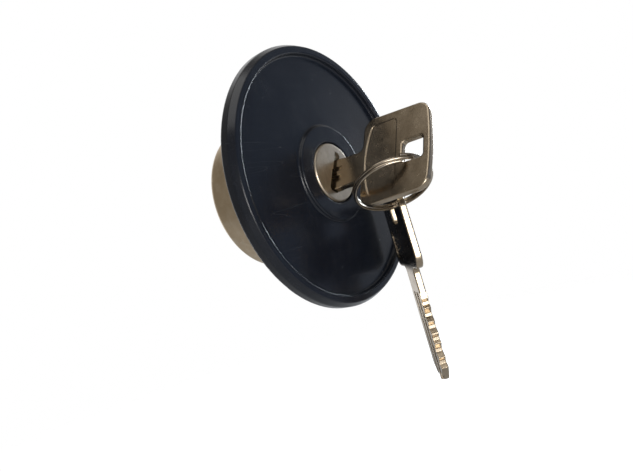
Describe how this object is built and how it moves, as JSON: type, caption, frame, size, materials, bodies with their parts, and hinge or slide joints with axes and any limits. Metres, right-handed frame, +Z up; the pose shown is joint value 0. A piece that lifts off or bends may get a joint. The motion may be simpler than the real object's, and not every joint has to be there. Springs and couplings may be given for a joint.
{
  "type": "fuel filler cap",
  "caption": "Locking fuel filler cap: black moulded cover on a plated steel body with sliding bolts, a flat key in the lock and a spare key on a split ring.",
  "frame": {"origin": "on the cap's axis, in the sealing plane at the back of the gasket", "axes": "+X right seen from the front, +Y from the cover's face into the filler neck, +Z up"},
  "size_m": [0.0806, 0.0639, 0.1088],
  "materials": {
    "cover_black": "satin moulded",
    "shell_plated": "zinc plated, satin",
    "gasket_rubber": "matt",
    "zinc_cast": "as cast zinc",
    "screw_steel": "zinc plated",
    "face_steel": "worn plating",
    "wafer_brass": "stamped",
    "spring_steel": "drawn wire",
    "seal_rubber": "matt",
    "washer_steel": "bright",
    "cam_steel": "stamped",
    "bolt_steel": "zinc plated",
    "guide_steel": "zinc plated",
    "cage_steel": "pressed",
    "rivet_aluminium": "satin",
    "key_nickel": "worn nickel plating",
    "ring_steel": "worn plating"
  },
  "bodies": {
    "cap": {"cover": "cover_black", "body_shell": "shell_plated", "gasket": "gasket_rubber", "lock_housing": "zinc_cast", "housing_screws": "screw_steel", "bolt_guide": "guide_steel", "guide_screws": "screw_steel", "plug_seal": "seal_rubber", "cam_washer": "washer_steel", "vent_cage": "cage_steel", "vent_rivets": "rivet_aluminium", "vent_spring": "spring_steel"},
    "plug": {"lock_face": "face_steel", "lock_plug": "zinc_cast", "wafer_1": "wafer_brass", "wafer_2": "wafer_brass", "wafer_3": "wafer_brass", "wafer_4": "wafer_brass", "wafer_5": "wafer_brass", "wafer_springs": "spring_steel", "cam": "cam_steel", "plug_circlip": "spring_steel"},
    "upper_bolt": {"bolt_top": "bolt_steel"},
    "lower_bolt": {"bolt_bottom": "bolt_steel"},
    "working_key": {"key": "key_nickel"},
    "ring": {"split_ring": "ring_steel"},
    "hanging_key": {"spare_key": "key_nickel"},
    "valve": {"vent_disc": "seal_rubber"}
  },
  "joints": [
    {"name": "lock_turn", "type": "hinge", "parent": "cap", "child": "plug", "pos_m": [0, 0, 0], "axis": [0, 1, 0], "range_deg": [0, 90]},
    {"name": "bolt_top_slide", "type": "slide", "parent": "cap", "child": "upper_bolt", "axis": [0, 0, 1], "range_m": [0, 0.0041]},
    {"name": "bolt_bottom_slide", "type": "slide", "parent": "cap", "child": "lower_bolt", "axis": [0, 0, -1], "range_m": [0, 0.0041]},
    {"name": "key_pull", "type": "slide", "parent": "plug", "child": "working_key", "axis": [0, -1, 0], "range_m": [0, 0.03]},
    {"name": "ring_swing", "type": "hinge", "parent": "working_key", "child": "ring", "pos_m": [-0.00079, -0.03304, -0.00279], "axis": [-0.8572, 0, 0.515], "range_deg": [-3, 60]},
    {"name": "spare_swing", "type": "hinge", "parent": "ring", "child": "hanging_key", "pos_m": [0.00976, -0.01769, -0.01431], "axis": [-0.6611, 0.7499, -0.0244], "range_deg": [-5, 14]},
    {"name": "vent_lift", "type": "slide", "parent": "cap", "child": "valve", "axis": [0, -1, 0], "range_m": [0, 0.001], "stiffness_N_per_m": 100, "springref_m": -0.002, "deforming": ["vent_spring"]}
  ],
  "couplings": [
    {"joint": "bolt_top_slide", "follows": "lock_turn", "m_per_rad": 0.0025465},
    {"joint": "bolt_bottom_slide", "follows": "lock_turn", "m_per_rad": 0.0025465}
  ]
}
